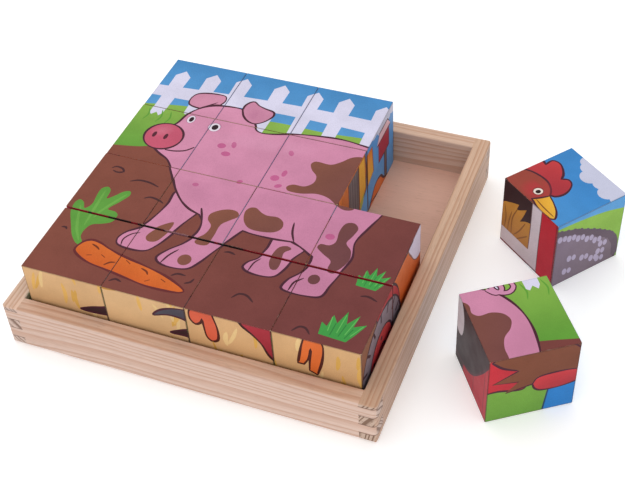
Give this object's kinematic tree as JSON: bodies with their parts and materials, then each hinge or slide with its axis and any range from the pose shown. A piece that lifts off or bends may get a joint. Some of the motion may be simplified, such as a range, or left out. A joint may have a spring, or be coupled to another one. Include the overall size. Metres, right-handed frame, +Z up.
{
  "type": "picture cube puzzle",
  "caption": "Picture-cube puzzle: wooden blocks with a printed sheet on every face, standing in a low box-jointed wooden tray, with two blocks lying loose beside it.",
  "frame": {"origin": "middle of the whole set's footprint, on the table", "axes": "+X to the right, along the tray's front wall and towards the loose blocks; +Y to the back; +Z up"},
  "size_m": [0.253, 0.18, 0.0455],
  "materials": {
    "tray_wood": "sanded, unvarnished pine",
    "floor_wood": "smooth fibreboard",
    "block_wood": "sanded",
    "printed_paper": "varnished print"
  },
  "bodies": {
    "tray": {"front_wall": "tray_wood", "back_wall": "tray_wood", "left_wall": "tray_wood", "right_wall": "tray_wood", "floor_panel": "floor_wood"},
    "cube_r1c1": {"block_r1c1": "block_wood", "sheets_r1c1": "printed_paper"},
    "cube_r1c2": {"block_r1c2": "block_wood", "sheets_r1c2": "printed_paper"},
    "cube_r1c3": {"block_r1c3": "block_wood", "sheets_r1c3": "printed_paper"},
    "cube_r1c4": {"block_r1c4": "block_wood", "sheets_r1c4": "printed_paper"},
    "cube_r2c1": {"block_r2c1": "block_wood", "sheets_r2c1": "printed_paper"},
    "cube_r2c2": {"block_r2c2": "block_wood", "sheets_r2c2": "printed_paper"},
    "cube_r2c3": {"block_r2c3": "block_wood", "sheets_r2c3": "printed_paper"},
    "cube_r2c4": {"block_r2c4": "block_wood", "sheets_r2c4": "printed_paper"},
    "cube_r3c1": {"block_r3c1": "block_wood", "sheets_r3c1": "printed_paper"},
    "cube_r3c2": {"block_r3c2": "block_wood", "sheets_r3c2": "printed_paper"},
    "cube_r3c3": {"block_r3c3": "block_wood", "sheets_r3c3": "printed_paper"},
    "cube_r3c4": {"block_r3c4": "block_wood", "sheets_r3c4": "printed_paper"},
    "cube_r4c1": {"block_r4c1": "block_wood", "sheets_r4c1": "printed_paper"},
    "cube_r4c2": {"block_r4c2": "block_wood", "sheets_r4c2": "printed_paper"},
    "cube_r4c3": {"block_r4c3": "block_wood", "sheets_r4c3": "printed_paper"},
    "cube_r4c4": {"block_r4c4": "block_wood", "sheets_r4c4": "printed_paper"}
  },
  "joints": [
    {"name": "lift_r1c1", "type": "slide", "parent": "tray", "child": "cube_r1c1", "axis": [0, 0, 1], "range_m": [0, 0.05]},
    {"name": "lift_r1c2", "type": "slide", "parent": "tray", "child": "cube_r1c2", "axis": [0, 0, 1], "range_m": [0, 0.05]},
    {"name": "lift_r1c3", "type": "slide", "parent": "tray", "child": "cube_r1c3", "axis": [0, 0, 1], "range_m": [0, 0.05]},
    {"name": "lift_r1c4", "type": "slide", "parent": "tray", "child": "cube_r1c4", "axis": [0, 0, 1], "range_m": [0, 0.05]},
    {"name": "lift_r2c1", "type": "slide", "parent": "tray", "child": "cube_r2c1", "axis": [0, 0, 1], "range_m": [0, 0.05]},
    {"name": "lift_r2c2", "type": "slide", "parent": "tray", "child": "cube_r2c2", "axis": [0, 0, 1], "range_m": [0, 0.05]},
    {"name": "lift_r2c3", "type": "slide", "parent": "tray", "child": "cube_r2c3", "axis": [0, 0, 1], "range_m": [0, 0.05]},
    {"name": "lift_r2c4", "type": "slide", "parent": "tray", "child": "cube_r2c4", "axis": [0, 0, 1], "range_m": [0, 0.05]},
    {"name": "lift_r3c1", "type": "slide", "parent": "tray", "child": "cube_r3c1", "axis": [0, 0, 1], "range_m": [0, 0.05]},
    {"name": "lift_r3c2", "type": "slide", "parent": "tray", "child": "cube_r3c2", "axis": [0, 0, 1], "range_m": [0, 0.05]},
    {"name": "lift_r3c3", "type": "slide", "parent": "tray", "child": "cube_r3c3", "axis": [0, 0, 1], "range_m": [0, 0.05]},
    {"name": "lift_r3c4", "type": "slide", "parent": "tray", "child": "cube_r3c4", "axis": [0, 0, 1], "range_m": [0, 0.05]},
    {"name": "lift_r4c1", "type": "slide", "parent": "tray", "child": "cube_r4c1", "axis": [0, 0, 1], "range_m": [0, 0.05]},
    {"name": "lift_r4c2", "type": "slide", "parent": "tray", "child": "cube_r4c2", "axis": [0, 0, 1], "range_m": [0, 0.05]},
    {"name": "lift_r4c3", "type": "slide", "parent": "tray", "child": "cube_r4c3", "axis": [0, 0, 1], "range_m": [0, 0.05]},
    {"name": "lift_r4c4", "type": "slide", "parent": "tray", "child": "cube_r4c4", "axis": [0, 0, 1], "range_m": [0, 0.05]}
  ]
}
